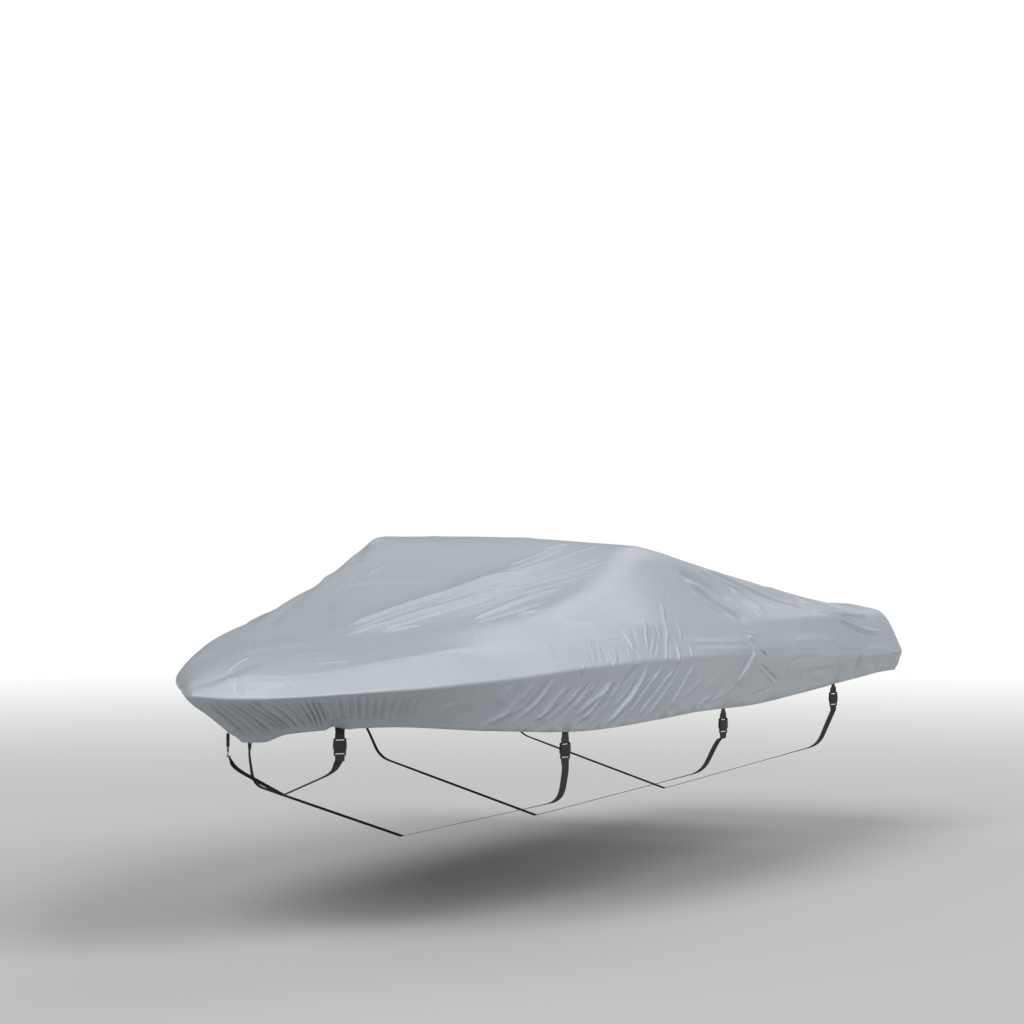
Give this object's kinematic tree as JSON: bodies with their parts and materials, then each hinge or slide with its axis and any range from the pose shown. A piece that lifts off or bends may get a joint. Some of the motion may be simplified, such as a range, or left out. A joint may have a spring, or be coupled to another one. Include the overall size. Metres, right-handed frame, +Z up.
{
  "type": "boat cover",
  "caption": "Fitted boat cover, draped from a windscreen ridge over bow and cockpit, with webbing straps and side-release buckles that pass under the hull.",
  "frame": {"origin": "underside of the cover at the middle of its ridge, where the windscreen of the boat holds it up; the ground under the trailer is 1.583 m below", "axes": "+X aft, towards the stern; +Y to starboard; +Z up"},
  "size_m": [5.2786, 1.9939, 1.2796],
  "materials": {
    "cloth": "coated polyester, fine weave with a slight sheen",
    "webbing": "woven polyester webbing, matt",
    "buckle": "moulded acetal, satin"
  },
  "bodies": {
    "root": {"cover_cloth": "cloth", "tab_port_1": "webbing", "socket_port_1": "buckle", "plug_port_1": "buckle", "tab_port_2": "webbing", "socket_port_2": "buckle", "plug_port_2": "buckle", "tab_port_3": "webbing", "socket_port_3": "buckle", "plug_port_3": "buckle", "tab_port_4": "webbing", "socket_port_4": "buckle", "plug_port_4": "buckle", "tab_starboard_1": "webbing", "socket_starboard_1": "buckle", "plug_starboard_1": "buckle", "tab_starboard_2": "webbing", "socket_starboard_2": "buckle", "plug_starboard_2": "buckle", "tab_starboard_3": "webbing", "socket_starboard_3": "buckle", "plug_starboard_3": "buckle", "tab_starboard_4": "webbing", "socket_starboard_4": "buckle", "plug_starboard_4": "buckle", "strap_1": "webbing", "strap_2": "webbing", "strap_3": "webbing", "strap_4": "webbing"}
  },
  "joints": []
}
